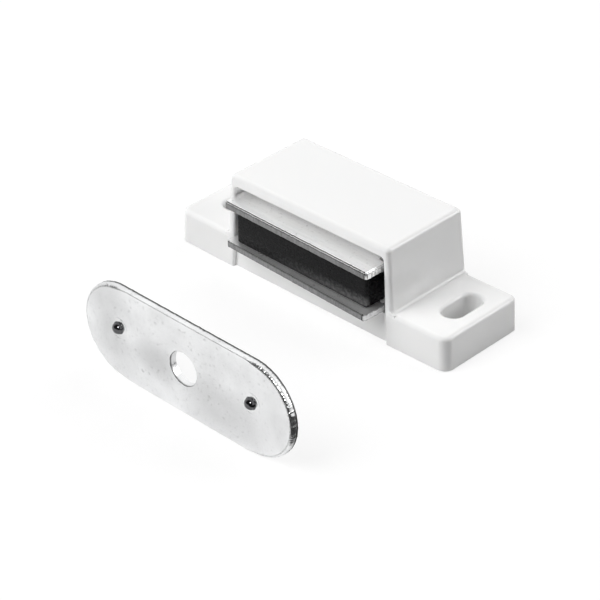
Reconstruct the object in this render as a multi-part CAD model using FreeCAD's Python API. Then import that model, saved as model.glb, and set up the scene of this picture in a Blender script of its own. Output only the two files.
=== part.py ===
import FreeCAD, Part
import math
import os
from FreeCAD import Placement, Rotation, Vector

# Magnetic cupboard catch with its striker plate.
# Millimetres. X runs from ear to ear, -Y is the open front, +Z is up.
# The origin is the middle of the mounting face, the flat underside that is screwed to a shelf or side panel.

# Housing, outside
length = 46.0                # over both ears
depth = 14.0                 # front face to rear face
ear_thickness = 4.7          # top of an ear beside the body
ear_tip_rise = 0.16          # the ears lift this much towards their tips, until the screws pull them flat
ear_rear_inset = 0.35        # the ears' rear faces stand ahead of the body's
ear_corner = 1.3             # radius of the ears' upright front corners
ear_rear_corner = 0.9        # radius of the ears' upright rear corners
ear_edge = 0.6               # rounding of the ears' top edges
ear_end_draft = 0.24         # each ear's end leans in by this over its thickness
body_width = 26.85           # across the top face
side_draft_deg = 4.6         # lean of the body's two sides
rear_lean = 0.37             # the rear wall leans in by this, from ear level to the top
body_front_corner = 0.6      # radius of the body's upright front corners
body_rear_corner = 0.5       # radius of the body's upright rear corners
body_edge = 0.65             # rounding round the top face
root_fillet = 0.58           # fillet where the body rises from an ear

# Housing, walls and mouth
floor_height = 4.0           # the floor that the magnet pack slides on
top_wall = 1.58              # lip and roof over the mouth
side_wall = 1.03             # side wall beside the roof
mouth_draft_deg = 3.0        # lean of the mouth's two sides
mouth_corner = 0.5           # radius in the mouth's top corners
rim_round = 0.35             # rounding round the mouth's front edge
floor_setback = 0.53         # the floor's front edge stands back from the front face
rear_wall = 1.8              # behind the magnet pack
web = 2.0                    # solid web across the middle of the underside
pocket_floor = 1.4           # plastic left between an underside pocket and the floor
pocket_margin = 2.4          # plastic left round the underside pockets
pocket_corner = 1.0

# Screw slots, which run front to back so that the catch can be set in or out
slot_width = 3.0
slot_length = 6.3
slot_back = 0.4              # slot centres behind the middle of the depth
right_slot_from_end = 3.9    # slot centre to the ear's end
left_slot_from_end = 4.6     # the left slot stands a little nearer the body
slot_rim = 0.45              # rounding of the slot's top rim

# Magnet pack: a ferrite block between two steel pole plates
plate_thickness = 1.0
magnet_thickness = 5.0
plate_side_gap = 0.1         # plate edge to the mouth's side, level with the roof
magnet_inset = 1.1           # the magnet's ends stand in from the plates' ends
pole_reach = 2.33            # the plates' front edges stand out from the front face
magnet_setback = 1.13        # the magnet's front face behind the plates' front edges
magnet_rear_inset = 0.9      # the magnet's rear face ahead of the plates' rear edges
plate_corner = 0.5
plate_rear_inset = 0.3       # behind the notches the plates are narrower, which lets them swing
plate_edge = 0.12            # break that the shearing leaves on a plate's top edge
magnet_corner = 0.45
magnet_edge = 0.12           # ground chamfer round the magnet's pole faces
head_gap = 1.05              # free height over the upper plate
float_travel = 1.2           # how far the pack can be pushed in
lower_swing_deg = 2.6        # how far the lower plate can turn either way from square
end_gap = 0.1                # left behind the pack at the end of its travel

# Nibs on the side walls keep the pack in: they stand in notches in the plates' sides
nib_from_front = 4.6         # the nibs' rear faces behind the housing's front face
nib_width = 1.3
nib_land = 0.5               # length of a nib's flat tip, behind its ramp
nib_engagement = 0.45        # how far a nib reaches in front of a plate's rear part
notch_gap = 0.45             # from a nib's tip to the bottom of the notch
notch_corner = 0.3

# The loose pack sits a little askew at rest
magnet_turn_deg = -0.8
upper_plate_turn_deg = -1.35
lower_plate_turn_deg = -2.57
lower_plate_shift = 0.1      # sideways, to the right

# Striker plate, which is screwed to the door: it stands on its long edge in front of the catch
striker_length = 35.1
striker_width = 12.7
striker_thickness = 1.0
striker_hole = 4.5
striker_hole_offset = -0.25  # hole centre from the plate's middle, along its length
striker_edge = 0.12          # break that the punch leaves on the door side
pip_spacing = 22.6           # between the two locating pips, about the hole
pip_height = 0.75            # a pip's crown above the door side
pip_ball = 1.05              # radius of a pip's crown
pip_flank_deg = 48.0         # slope of a pip's flank, from its crown down to the plate
dimple_radius = 0.8          # punch mark behind each pip
dimple_depth = 0.6
striker_ahead = 27.07        # the plate's door side in front of the housing's front face
striker_aside = 5.98         # the plate's middle to the right of the catch's middle
striker_turn_deg = -0.82

# Places that follow from the sizes
front = -depth / 2
rear = depth / 2
ear_rear = rear - ear_rear_inset
pack_height = 2 * plate_thickness + magnet_thickness
mouth_top = floor_height + pack_height + head_gap
body_height = mouth_top + top_wall
cavity_rear = rear - rear_wall


def body_half(z):
    """Half the body's width at a height: its sides lean in towards the top."""
    return body_width / 2 + math.tan(math.radians(side_draft_deg)) * (body_height - z)


def mouth_half(z):
    """Half the mouth's width at a height: it widens towards the mounting face."""
    return body_half(mouth_top) - side_wall + math.tan(math.radians(mouth_draft_deg)) * (mouth_top - z)


plate_half = mouth_half(mouth_top) - plate_side_gap
magnet_half = plate_half - magnet_inset
plate_rear_half = plate_half - plate_rear_inset
swing = plate_half * math.sin(math.radians(lower_swing_deg))
plates_front = front - pole_reach
plates_rear = cavity_rear - float_travel - swing - end_gap
magnet_front = plates_front + magnet_setback
magnet_rear = plates_rear - magnet_rear_inset
pivot = Vector(0, (magnet_front + magnet_rear) / 2, 0)
nib_rear = front + nib_from_front
nib_front = nib_rear - nib_width
nib_tip = plate_rear_half - nib_engagement


def outline(corners, z=0.0):
    """A closed flat outline. Each corner is (x, y, radius), in order round the shape."""
    starts, ends, edges = [], [], []
    count = len(corners)
    for i, (x, y, radius) in enumerate(corners):
        here = Vector(x, y, z)
        back = Vector(*corners[i - 1][:2], z) - here
        on = Vector(*corners[(i + 1) % count][:2], z) - here
        if radius == 0:
            starts.append(here)
            ends.append(here)
            continue
        half_angle = back.getAngle(on) / 2
        reach = radius / math.tan(half_angle)
        start = here + back.normalize() * reach
        end = here + on.normalize() * reach
        bisector = (back + on).normalize()
        middle = here + bisector * (radius / math.sin(half_angle) - radius)
        edges.append(Part.Arc(start, middle, end).toShape())
        starts.append(start)
        ends.append(end)
    for i in range(count):
        edges.append(Part.makeLine(ends[i], starts[(i + 1) % count]))
    return Part.Wire(Part.__sortEdges__(edges))


def rectangle(x0, y0, x1, y1, radius=0.0, z=0.0):
    return outline([(x0, y0, radius), (x1, y0, radius), (x1, y1, radius), (x0, y1, radius)], z)


def prism(wire, direction):
    return Part.Face(wire).extrude(direction)


def upright(wire):
    """Stands a flat outline up: its y becomes z, and it faces the front."""
    turned = wire.copy()
    turned.rotate(Vector(), Vector(1, 0, 0), 90)
    return turned


def obround(overall, width):
    """A flat outline with full round ends about the origin, running along X."""
    radius = width / 2
    run = overall / 2 - radius
    return Part.Wire([
        Part.makeLine(Vector(-run, -radius, 0), Vector(run, -radius, 0)),
        Part.Arc(Vector(run, -radius, 0), Vector(run + radius, 0, 0), Vector(run, radius, 0)).toShape(),
        Part.makeLine(Vector(run, radius, 0), Vector(-run, radius, 0)),
        Part.Arc(Vector(-run, radius, 0), Vector(-run - radius, 0, 0), Vector(-run, -radius, 0)).toShape()])


def edges_where(shape, test):
    return [edge for edge in shape.Edges if all(test(v.Point) for v in edge.Vertexes)]


def near(a, b, slack=1e-4):
    return abs(a - b) < slack


def mirror_x(shape):
    return shape.mirror(Vector(), Vector(1, 0, 0))


def right_ear(slot_from_end):
    """One ear with its screw slot: its tip leans in and lifts a little, and its top edges are round."""
    root = body_half(0) - 3.0
    tip = length / 2
    top = ear_thickness + ear_tip_rise
    side = upright(outline([
        (root, 0, 0), (body_half(0), 0, 0), (tip, ear_tip_rise, 0),
        (tip - ear_end_draft, top, 0), (root, ear_thickness, 0)]))
    side.translate(Vector(0, front, 0))
    ear = prism(side, Vector(0, ear_rear - front, 0))

    def at_tip(y):
        return [e for e in ear.Edges if all(p.Point.x > tip - ear_end_draft - 0.01 for p in e.Vertexes)
                and abs(e.Vertexes[0].Point.z - e.Vertexes[-1].Point.z) > ear_thickness / 2
                and e.CenterOfMass.y * y > 0]

    ear = ear.makeFillet(ear_corner, at_tip(front))
    ear = ear.makeFillet(ear_rear_corner, at_tip(rear))
    slot_centre = Vector(tip - slot_from_end, slot_back, 0)
    slot = obround(slot_length, slot_width)
    slot.rotate(Vector(), Vector(0, 0, 1), 90)
    slot.translate(slot_centre - Vector(0, 0, 1))
    ear = ear.cut(prism(slot, Vector(0, 0, top + 2)))

    def on_top(point):
        return point.z > ear_thickness - 0.01

    rim = [e for e in edges_where(ear, on_top) if abs(e.CenterOfMass.x - slot_centre.x) < slot_width / 2 + 0.1
           and abs(e.CenterOfMass.y - slot_back) < slot_length / 2 + 0.1]
    ear = ear.makeFillet(slot_rim, rim)
    border = [e for e in edges_where(ear, on_top) if e.CenterOfMass.x > root + 0.1
              and (abs(e.CenterOfMass.y - slot_back) > slot_length / 2 + 1 or e.CenterOfMass.x > tip - 1)]
    return ear.makeFillet(ear_edge, border)


def body_block():
    """The upright box between the ears, before it is hollowed."""
    bottom_half, top_half = body_half(0), body_half(body_height)
    face = upright(outline([
        (-bottom_half, 0, 0), (bottom_half, 0, 0), (top_half, body_height, 0), (-top_half, body_height, 0)]))
    face.translate(Vector(0, rear + 1, 0))
    side = outline([
        (front, 0, 0), (rear, 0, 0), (rear, ear_thickness, 0),
        (rear - rear_lean, body_height, 0), (front, body_height, 0)])
    side.rotate(Vector(), Vector(1, 1, 1), 120)
    side.translate(Vector(-length / 2, 0, 0))
    block = prism(face, Vector(0, -depth - 2, 0)).common(prism(side, Vector(length, 0, 0)))

    def rising(y):
        return [e for e in block.Edges if abs(e.Vertexes[0].Point.z - e.Vertexes[-1].Point.z) > 1
                and e.CenterOfMass.y * y > 0]

    block = block.makeFillet(body_front_corner, rising(front))
    block = block.makeFillet(body_rear_corner, rising(rear))
    return block.makeFillet(body_edge, edges_where(block, lambda p: near(p.z, body_height)))


def root_web():
    """The fillet between the body's right side and the ear, which follows the body round its corners."""
    foot = body_half(ear_thickness)
    lean = math.radians(side_draft_deg)
    reach = root_fillet * math.tan((math.pi / 2 - lean) / 2)
    centre = Vector(foot + reach, ear_thickness + root_fillet, 0)
    on_ear = Vector(foot + reach, ear_thickness, 0)
    on_side = Vector(foot - reach * math.sin(lean), ear_thickness + reach * math.cos(lean), 0)
    middle = centre + ((on_ear - centre) + (on_side - centre)).normalize() * root_fillet
    buried = Vector(foot - body_front_corner / 2, ear_thickness - ear_edge / 2, 0)
    below = Vector(on_ear.x, buried.y, 0)
    section = Part.Face(upright(Part.Wire([
        Part.Arc(on_ear, middle, on_side).toShape(), Part.makeLine(on_side, buried),
        Part.makeLine(buried, below), Part.makeLine(below, on_ear)])))
    start = front + body_front_corner
    end = rear - body_rear_corner
    section.translate(Vector(0, start, 0))
    strip = section.extrude(Vector(0, end - start, 0))
    up = Vector(0, 0, 1)
    ahead = section.revolve(Vector(foot - body_front_corner, start, 0), up, -90)
    section.translate(Vector(0, end - start, 0))
    behind = section.revolve(Vector(foot - body_rear_corner, end, 0), up, 90)
    within = Part.makeBox(length, ear_rear - front, body_height, Vector(0, front, 0))
    return strip.fuse([ahead, behind]).common(within)


def mouth_outline(bottom, at):
    """The mouth's trapezium, from a height up to the roof, standing at a depth."""
    top_half, bottom_half = mouth_half(mouth_top), mouth_half(bottom)
    wire = upright(outline([
        (-bottom_half, bottom, 0), (bottom_half, bottom, 0),
        (top_half, mouth_top, mouth_corner), (-top_half, mouth_top, mouth_corner)]))
    wire.translate(Vector(0, at, 0))
    return wire


def nib():
    """The right-hand nib: a ramp that the pack snaps past, with a steep rear face."""
    buried = mouth_half(floor_height) + side_wall / 2
    wire = outline([
        (buried, nib_front, 0), (mouth_half(mouth_top), nib_front, 0), (nib_tip, nib_rear - nib_land, 0),
        (nib_tip, nib_rear, 0), (buried, nib_rear, 0)], floor_height - 0.5)
    return prism(wire, Vector(0, 0, mouth_top - floor_height + 1))


def underside_pocket():
    """Right-hand core-out that keeps the floor's thickness even."""
    wire = rectangle(
        web / 2, front + floor_setback + pocket_margin, mouth_half(0) - pocket_margin / 2, rear - pocket_margin,
        pocket_corner)
    wire.translate(Vector(0, 0, -1))
    return prism(wire, Vector(0, 0, floor_height - pocket_floor + 1))


def housing():
    shell = body_block().fuse([right_ear(right_slot_from_end), mirror_x(right_ear(left_slot_from_end))])
    web_strip = root_web()
    shell = shell.fuse([web_strip, mirror_x(web_strip)]).removeSplitter()
    before = front - 1
    shell = shell.cut(prism(mouth_outline(floor_height, before), Vector(0, cavity_rear - before, 0)))
    shell = shell.cut(prism(mouth_outline(-1, before), Vector(0, floor_setback + 1, 0)))

    def on_rim(point):
        return near(point.y, front) and abs(point.x) < mouth_half(0) + 0.01 and point.z < mouth_top + 0.01

    rim = [e for e in edges_where(shell, on_rim) if e.CenterOfMass.z > floor_height / 4]
    shell = shell.makeFillet(rim_round, rim)
    pocket = underside_pocket()
    shell = shell.cut([pocket, mirror_x(pocket)])
    stop = nib()
    return shell.fuse([stop, mirror_x(stop)]).removeSplitter()


def pack_place(shape, turn_deg, shift, z):
    """Turns a piece of the pack about the pack's upright middle axis, then sets its side shift and height."""
    shape.rotate(pivot, Vector(0, 0, 1), turn_deg)
    shape.translate(Vector(shift, 0, z))
    return shape


def pole_plate(turn_deg, shift, z):
    """A sheared steel plate with a notch in each side for the nibs."""
    notch_x = nib_tip - notch_gap
    notch_front = nib_front - float_travel - swing - end_gap
    notch_rear = nib_rear + swing + end_gap
    right = [
        (plate_half, plates_front, plate_corner), (plate_half, notch_front, 0), (notch_x, notch_front, notch_corner),
        (notch_x, notch_rear, notch_corner), (plate_rear_half, notch_rear, 0),
        (plate_rear_half, plates_rear, plate_corner)]
    left = [(-x, y, radius) for x, y, radius in reversed(right)]
    plate = prism(outline(right + left), Vector(0, 0, plate_thickness))
    top = edges_where(plate, lambda p: near(p.z, plate_thickness))
    plate = plate.makeChamfer(plate_edge, top)
    return pack_place(plate, turn_deg, shift, z)


def magnet():
    block = prism(
        rectangle(-magnet_half, magnet_front, magnet_half, magnet_rear, magnet_corner),
        Vector(0, 0, magnet_thickness))
    flats = edges_where(block, lambda p: near(p.z, 0)) + edges_where(block, lambda p: near(p.z, magnet_thickness))
    return pack_place(block.makeChamfer(magnet_edge, flats), magnet_turn_deg, 0, floor_height + plate_thickness)


def pip():
    """A pip's profile turned about its axis: a ball crown with a flank that runs straight down to the plate."""
    slope = math.radians(pip_flank_deg)
    top = -pip_height
    shoulder = Vector(pip_ball * math.sin(slope), top + pip_ball * (1 - math.cos(slope)), 0)
    half_way = Vector(pip_ball * math.sin(slope / 2), top + pip_ball * (1 - math.cos(slope / 2)), 0)
    crown = Vector(0, top, 0)
    foot = Vector(shoulder.x - shoulder.y / math.tan(slope), 0, 0)
    sunk = Vector(foot.x, striker_thickness / 4, 0)
    middle = Vector(0, striker_thickness / 4, 0)
    wire = Part.Wire([
        Part.Arc(crown, half_way, shoulder).toShape(), Part.makeLine(shoulder, foot), Part.makeLine(foot, sunk),
        Part.makeLine(sunk, middle), Part.makeLine(middle, crown)])
    return Part.Face(wire).revolve(Vector(), Vector(0, 1, 0), 360)


def dimple():
    """The punch mark behind a pip: a shallow ball-shaped hollow, turned about the pip's axis."""
    ball = (dimple_radius ** 2 + dimple_depth ** 2) / (2 * dimple_depth)
    middle = Vector(0, striker_thickness - dimple_depth + ball, 0)
    deepest = Vector(0, striker_thickness - dimple_depth, 0)
    rim = Vector(dimple_radius, striker_thickness, 0)
    half_way = middle + ((deepest - middle) + (rim - middle)).normalize() * ball
    over_rim = Vector(dimple_radius, striker_thickness + 1, 0)
    over_middle = Vector(0, striker_thickness + 1, 0)
    wire = Part.Wire([
        Part.Arc(deepest, half_way, rim).toShape(), Part.makeLine(rim, over_rim),
        Part.makeLine(over_rim, over_middle), Part.makeLine(over_middle, deepest)])
    return Part.Face(wire).revolve(Vector(), Vector(0, 1, 0), 360)


def striker_plate():
    """A punched steel plate with full round ends, one screw hole and two locating pips."""
    radius = striker_width / 2
    blank = upright(obround(striker_length, striker_width))
    plate = prism(blank, Vector(0, striker_thickness, 0))
    hole = Part.makeCylinder(
        striker_hole / 2, striker_thickness + 2, Vector(striker_hole_offset, -1, 0), Vector(0, 1, 0))
    plate = plate.cut(hole)
    plate = plate.makeChamfer(striker_edge, edges_where(plate, lambda p: near(p.y, 0)))
    for side in (-1, 1):
        place = Vector(striker_hole_offset + side * pip_spacing / 2, 0, 0)
        bump, mark = pip(), dimple()
        bump.translate(place)
        mark.translate(place)
        plate = plate.fuse(bump).cut(mark)
    plate = plate.removeSplitter()
    plate.Placement = Placement(
        Vector(striker_aside, front - striker_ahead, radius), Rotation(Vector(0, 0, 1), striker_turn_deg))
    return plate


pieces = {
    "housing": housing(),
    "lower_pole_plate": pole_plate(lower_plate_turn_deg, lower_plate_shift, floor_height),
    "magnet": magnet(),
    "upper_pole_plate": pole_plate(upper_plate_turn_deg, 0, floor_height + plate_thickness + magnet_thickness),
    "striker_plate": striker_plate(),
}

os.makedirs("parts", exist_ok=True)
for name, shape in pieces.items():
    solid = shape.Solids[0] if len(shape.Solids) == 1 else shape
    print(name, "solids", len(shape.Solids), "valid", shape.isValid(), "volume", round(shape.Volume, 2))
    solid.exportStep(f"parts/{name}.step")
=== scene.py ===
"""A magnetic cupboard catch with its striker plate, finished for a picture on a white table."""

import math

import bmesh
import bpy
import numpy as np
from bpy.props import FloatProperty, FloatVectorProperty, PointerProperty
from mathutils import Matrix, Vector


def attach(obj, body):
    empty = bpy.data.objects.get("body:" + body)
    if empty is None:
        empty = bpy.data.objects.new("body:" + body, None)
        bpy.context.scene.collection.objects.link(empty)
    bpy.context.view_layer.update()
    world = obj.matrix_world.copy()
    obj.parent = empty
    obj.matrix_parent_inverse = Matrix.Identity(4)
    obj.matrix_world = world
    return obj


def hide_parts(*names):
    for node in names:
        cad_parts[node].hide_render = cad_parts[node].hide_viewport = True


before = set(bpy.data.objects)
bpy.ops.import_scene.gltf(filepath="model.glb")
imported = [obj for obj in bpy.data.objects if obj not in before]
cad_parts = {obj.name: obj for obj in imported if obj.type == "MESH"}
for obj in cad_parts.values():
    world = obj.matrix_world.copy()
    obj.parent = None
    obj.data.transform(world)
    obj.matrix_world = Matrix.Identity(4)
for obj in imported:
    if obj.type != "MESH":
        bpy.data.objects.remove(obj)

bl_info = {
    "name": "Magnetic cupboard catch",
    "version": (1, 0, 0),
    "blender": (4, 5, 0),
    "location": "3D View > Sidebar > Catch",
    "description": "Finishes a magnetic cupboard catch and sets the table, lamps and camera round it",
    "category": "Object",
}

MM = 0.001


# Settings


def a_length(name, millimetres, description):
    """A size that is set in millimetres and kept in metres."""
    return FloatProperty(
        name=name, description=description, default=millimetres * MM, precision=6, unit="LENGTH"
    )


def an_angle(name, degrees, description):
    """An angle that is set in degrees and kept in radians."""
    return FloatProperty(
        name=name, description=description, default=math.radians(degrees), unit="ROTATION"
    )


def a_level(name, value, description):
    """A plain number from nothing upwards."""
    return FloatProperty(name=name, description=description, default=value, min=0.0)


def a_colour(name, value, description):
    """A colour as it is written on a shader."""
    return FloatVectorProperty(
        name=name, description=description, default=value, subtype="COLOR", min=0.0, max=1.0
    )


def a_grey(name, value, description):
    """A colour with the same value three times."""
    return a_colour(name, (value, value, value), description)


class StageSettings(bpy.types.PropertyGroup):
    """The table, the lamps and the camera."""

    azimuth: an_angle("Camera azimuth", 43.754, "From the open front round to the right")
    elevation: an_angle("Camera elevation", 32.838, "How far the camera looks down")
    roll: an_angle("Camera roll", -0.336, "Turn of the picture about its middle")
    distance: a_length("Camera distance", 305.06, "From the camera to the point that it aims at")
    aim: FloatVectorProperty(
        name="Aim",
        description="The point in the middle of the picture",
        default=(-0.869 * MM, -7.428 * MM, 0.453 * MM),
        precision=6,
        subtype="TRANSLATION",
    )
    lens: a_level("Lens", 145.18, "Focal length in millimetres")

    table_radius: a_length("Table radius", 3000.0, "Radius of the round table top")
    table_gap: a_length("Table gap", 0.02, "From the table top up to the mounting face")
    table_paint: a_grey("Table", 0.55, "Paint of the table top, for the light that it sends back")
    table_veil: a_grey("Seen table", 0.22, "Paint that the camera sees, which keeps the shadow")
    table_glow: a_level("Seen table's glow", 0.8, "Light that makes the seen table plain white")
    mirrored_paint: a_grey("Mirrored table", 0.78, "Paint of the table top as the metal mirrors it")
    mirrored_glow: a_level("Mirrored table's glow", 0.18, "Light added to the mirrored table top")
    cloth: a_grey("Cloth", 0.02, "Dark cloth on the right in front, which is only seen mirrored")
    cloth_aside: a_length("Cloth aside", 23.5, "The cloth begins this far to the right")
    cloth_side_fade: a_length("Cloth side fade", 2.0, "The cloth's left edge is this soft")
    cloth_front_fade: a_length("Cloth front fade", 6.0, "The cloth's rear edge is this soft")

    surround: a_level("Surround", 0.0, "Light of the white surround on the object")
    dark_azimuth: an_angle("Dark room azimuth", 5.0, "Middle of the unlit room behind the camera")
    dark_elevation: an_angle("Dark room elevation", 20.0, "Height of the unlit room")
    dark_start: a_level("Dark room edge", 0.35, "Cosine of the angle where the room darkens")
    dark_full: a_level("Dark room core", 0.62, "Cosine of the angle where the room is darkest")
    dark_level: a_level("Dark room level", 0.01, "Light that is left in the unlit room")

    lamp_distance: a_length("Lamp distance", 800.0, "From the object to each lamp")
    key_azimuth: an_angle("Key lamp azimuth", -31.0, "Place round the object")
    key_elevation: an_angle("Key lamp elevation", 45.0, "Height over the table")
    key_size: a_length("Key lamp size", 800.0, "Diameter")
    key_power: a_level("Key lamp power", 7.2, "In watts")
    side_azimuth: an_angle("Side lamp azimuth", 135.0, "Place round the object")
    side_elevation: an_angle("Side lamp elevation", 25.0, "Height over the table")
    side_size: a_length("Side lamp size", 450.0, "Diameter")
    side_power: a_level("Side lamp power", 2.35, "In watts")
    rear_azimuth: an_angle("Rear lamp azimuth", 180.0, "Place round the object")
    rear_elevation: an_angle("Rear lamp elevation", 50.0, "Height over the table")
    rear_size: a_length("Rear lamp size", 600.0, "Diameter")
    rear_power: a_level("Rear lamp power", 2.2, "In watts")
    spark_azimuth: an_angle("Spark lamp azimuth", 33.0, "Place of the lamp that the pips mirror")
    spark_elevation: an_angle("Spark lamp elevation", 42.0, "Height over the table")
    spark_size: a_length("Spark lamp size", 220.0, "Diameter")
    spark_power: a_level("Spark lamp power", 3.2, "In watts")

    mouth_power: a_level("Mouth glow", 0.00014, "Power of the light under the lip, in watts")
    mouth_width: a_length("Mouth glow width", 24.6, "Width of this light, along the mouth")
    mouth_depth: a_length("Mouth glow depth", 4.6, "How deep this light reaches into the mouth")
    mouth_place: a_length("Mouth glow place", -6.4, "Middle of this light, from the catch's middle")
    mouth_height: a_length("Mouth glow height", 11.06, "Height of this light, over the upper plate")


class PolePlateSizes(bpy.types.PropertyGroup):
    """A sheared steel pole plate, before it is turned askew."""

    half_width: a_length("Half width", 12.422, "From the middle to a side, ahead of the notches")
    rear_half_width: a_length("Rear half width", 12.122, "The same, behind the notches")
    front: a_length("Front edge", -9.33, "Place of the front edge")
    rear: a_length("Rear edge", 3.3365, "Place of the rear edge")
    notch_front: a_length("Notch front", -5.5635, "Front end of the side notches")
    notch_rear: a_length("Notch rear", -1.7365, "Rear end of the side notches")
    notch_half: a_length("Notch depth", 11.222, "From the middle to the bottom of a notch")
    corner: a_length("Corner", 0.5, "Radius of the outer corners")
    thickness: a_length("Thickness", 1.0, "Thickness of the sheet")
    pivot: a_length("Pivot", -2.8817, "Place of the magnet's middle, which the plates turn about")
    upper_height: a_length("Upper plate", 10.0, "Underside over the mounting face")
    lower_height: a_length("Lower plate", 4.0, "Underside over the mounting face")
    upper_turn: an_angle("Upper plate turn", -1.35, "The upper plate sits askew by this")
    lower_turn: an_angle("Lower plate turn", -2.57, "The lower plate sits askew by this")
    upper_shift: a_length("Upper plate shift", 0.0, "The upper plate sits to the right by this")
    lower_shift: a_length("Lower plate shift", 0.1, "The lower plate sits to the right by this")


class MagnetSizes(bpy.types.PropertyGroup):
    """The ground ferrite block."""

    half_width: a_length("Half width", 11.322, "From the middle to an end")
    front: a_length("Front", -8.2, "Place of the front face")
    rear: a_length("Rear", 2.436, "Place of the rear face")
    bottom: a_length("Bottom", 5.0, "Underside over the mounting face")
    thickness: a_length("Thickness", 5.0, "Between its two pole faces")
    corner: a_length("Corner", 0.45, "Radius of the upright corners")
    turn: an_angle("Turn", -0.8, "The block sits askew by this")


class StrikerSizes(bpy.types.PropertyGroup):
    """The punched striker plate, which stands on its long edge."""

    length: a_length("Length", 35.1, "Over the round ends")
    width: a_length("Width", 12.7, "Over the long edges")
    thickness: a_length("Thickness", 1.0, "Thickness of the sheet")
    hole: a_length("Screw hole", 4.5, "Diameter of the screw hole")
    hole_offset: a_length("Hole offset", -0.25, "Hole centre from the plate's middle")
    pip_spacing: a_length("Pip spacing", 22.4, "Between the two locating pips")
    pip_height: a_length("Pip height", 0.75, "Crown of a pip over the door side")
    pip_offset: a_length("Pip offset", 0.6, "Pips above the plate's middle line")
    pip_ball: a_length("Pip crown", 0.8, "Radius of a pip's crown")
    # Painted shade: this polished spot is also painted dark.
    pip_foot: a_length("Pip foot", 0.85, "Radius of the polished spot that holds a pip")
    pip_root: a_length("Pip root", 0.02, "Softness of the edge where a pip meets the sheet")
    ring: a_length("Pressed ring", 1.42, "Radius of the ring that the punch pressed round a pip")
    ring_width: a_length("Pressed ring width", 0.05, "From its deepest line to its soft edge")
    ring_depth: a_length("Pressed ring depth", 0.035, "Depth of this ring")
    dimple: a_length("Punch mark", 0.8, "Radius of the punch mark behind a pip")
    dimple_depth: a_length("Punch mark depth", 0.6, "Depth of the punch mark")
    aside: a_length("Aside", 5.98, "The plate's middle to the right of the catch")
    ahead: a_length("Ahead", 34.07, "The door side in front of the catch's middle")
    turn: an_angle("Turn", -0.82, "The plate stands askew by this")


class FinishSettings(bpy.types.PropertyGroup):
    """Colours of the plastic, the zinc, the steel and the ferrite, and of the painted shade and the painted
    reflection.
    """

    plastic: a_colour("Plastic", (0.9, 0.9, 0.897), "The moulded housing")
    plate_zinc: a_grey("Pole plate zinc", 0.985, "Bright zinc plating of the pole plates")
    zinc: a_colour("Zinc", (0.94, 0.945, 0.95), "Bright zinc plating of the striker plate")
    sheared_steel: a_grey("Sheared steel", 0.19, "Steel where the pole plates were cut")
    # Painted shade: near-black lines along the pole plates' rolled edges and down their front corners, for
    # the shade and dark reflections there.
    painted_edge_shade: a_grey("Edge lines", 0.015, "Dark lines along the pole plates' sheared edges")
    # Painted shade: the polished pips are painted dark, standing in for the dark surroundings they mirror.
    pip_steel_painted_dark: a_colour("Pips", (0.12, 0.12, 0.125), "Polished steel of the two pips")
    torn_steel: a_grey("Torn steel", 0.05, "Steel where the striker plate's edge was torn")
    ferrite: a_colour("Ferrite", (0.005, 0.005, 0.0055), "The magnet block")
    # Painted reflection: a paler colour low down on the right of the magnet's front, standing in for the
    # lower plate's light mirrored there.
    ferrite_painted_reflection: a_grey("Rubbed ferrite", 0.11, "The magnet block where it is rubbed")


# Shapes. Sizes are metres, and every shape is worked out as whole arrays.

# Numbers of waves round an outline, from the first and below the second, for wander.
COARSE_WAVES = (20, 160)
FINE_WAVES = (160, 420)
DARK_LINE_WAVES = (90, 380)
CHIP_WAVES = (20, 300)
# A sheared edge's raggedness ends within this share of the thickness from the flat faces.
FACE_MARGIN = 0.02


def closed_outline(corners, step, arc_step):
    """Points and outward directions along a closed outline, in order to the left, as arrays of (x, y).

    Each corner is (x, y, radius). Its arc turns evenly from the incoming side's direction to the outgoing
    one about a point that lies one radius inside both. The run to the next arc is divided evenly.
    """
    places = np.array([corner[:2] for corner in corners], float)
    radii = np.array([corner[2] for corner in corners], float)
    sides = np.roll(places, -1, 0) - places
    outgoing = sides / np.linalg.norm(sides, axis=1)[:, None]
    incoming = np.roll(outgoing, 1, 0)
    turns = np.arctan2(
        incoming[:, 0] * outgoing[:, 1] - incoming[:, 1] * outgoing[:, 0], (incoming * outgoing).sum(1)
    )
    reach = radii * np.tan(np.abs(turns) / 2)
    points, outwards = [], []
    for i in range(len(places)):
        bend = np.sign(turns[i])
        start = places[i] - incoming[i] * reach[i]
        out_start = np.array((incoming[i][1], -incoming[i][0]))
        centre = start - bend * radii[i] * out_start
        count = max(4, 2 * int(math.ceil(radii[i] * abs(turns[i]) / arc_step / 2)))
        angle = np.linspace(0.0, turns[i], count + 1)
        out = np.stack(
            (
                out_start[0] * np.cos(angle) - out_start[1] * np.sin(angle),
                out_start[0] * np.sin(angle) + out_start[1] * np.cos(angle),
            ),
            1,
        )
        points.append(centre + bend * radii[i] * out)
        outwards.append(out)
        after = (i + 1) % len(places)
        end = places[after] - outgoing[i] * reach[after]
        begin = points[-1][-1]
        pieces = max(1, int(round(np.linalg.norm(end - begin) / step)))
        share = np.arange(1, pieces)[:, None] / pieces
        points.append(begin + (end - begin) * share)
        outwards.append(np.repeat(out[-1:], pieces - 1, 0))
    points, outwards = np.concatenate(points), np.concatenate(outwards)
    apart = np.linalg.norm(points - np.roll(points, 1, 0), axis=1) > 1e-6 * MM
    return points[apart], outwards[apart]


def wander(points, waves, seed):
    """A smooth random value along a closed outline: sines of seeded size and start, one for each whole
    number of waves round it between the two given."""
    chance = np.random.default_rng(seed)
    run = np.concatenate(((0.0,), np.cumsum(np.linalg.norm(np.diff(points, axis=0), axis=1))))
    turn = 2.0 * np.pi * run / (run[-1] + np.linalg.norm(points[0] - points[-1]))
    count = np.arange(waves[0], waves[1])
    size = chance.normal(size=count.size) / math.sqrt(count.size / 2)
    start = chance.uniform(0, 2 * np.pi, count.size)
    return (size * np.sin(turn[:, None] * count + start)).sum(1)


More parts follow.
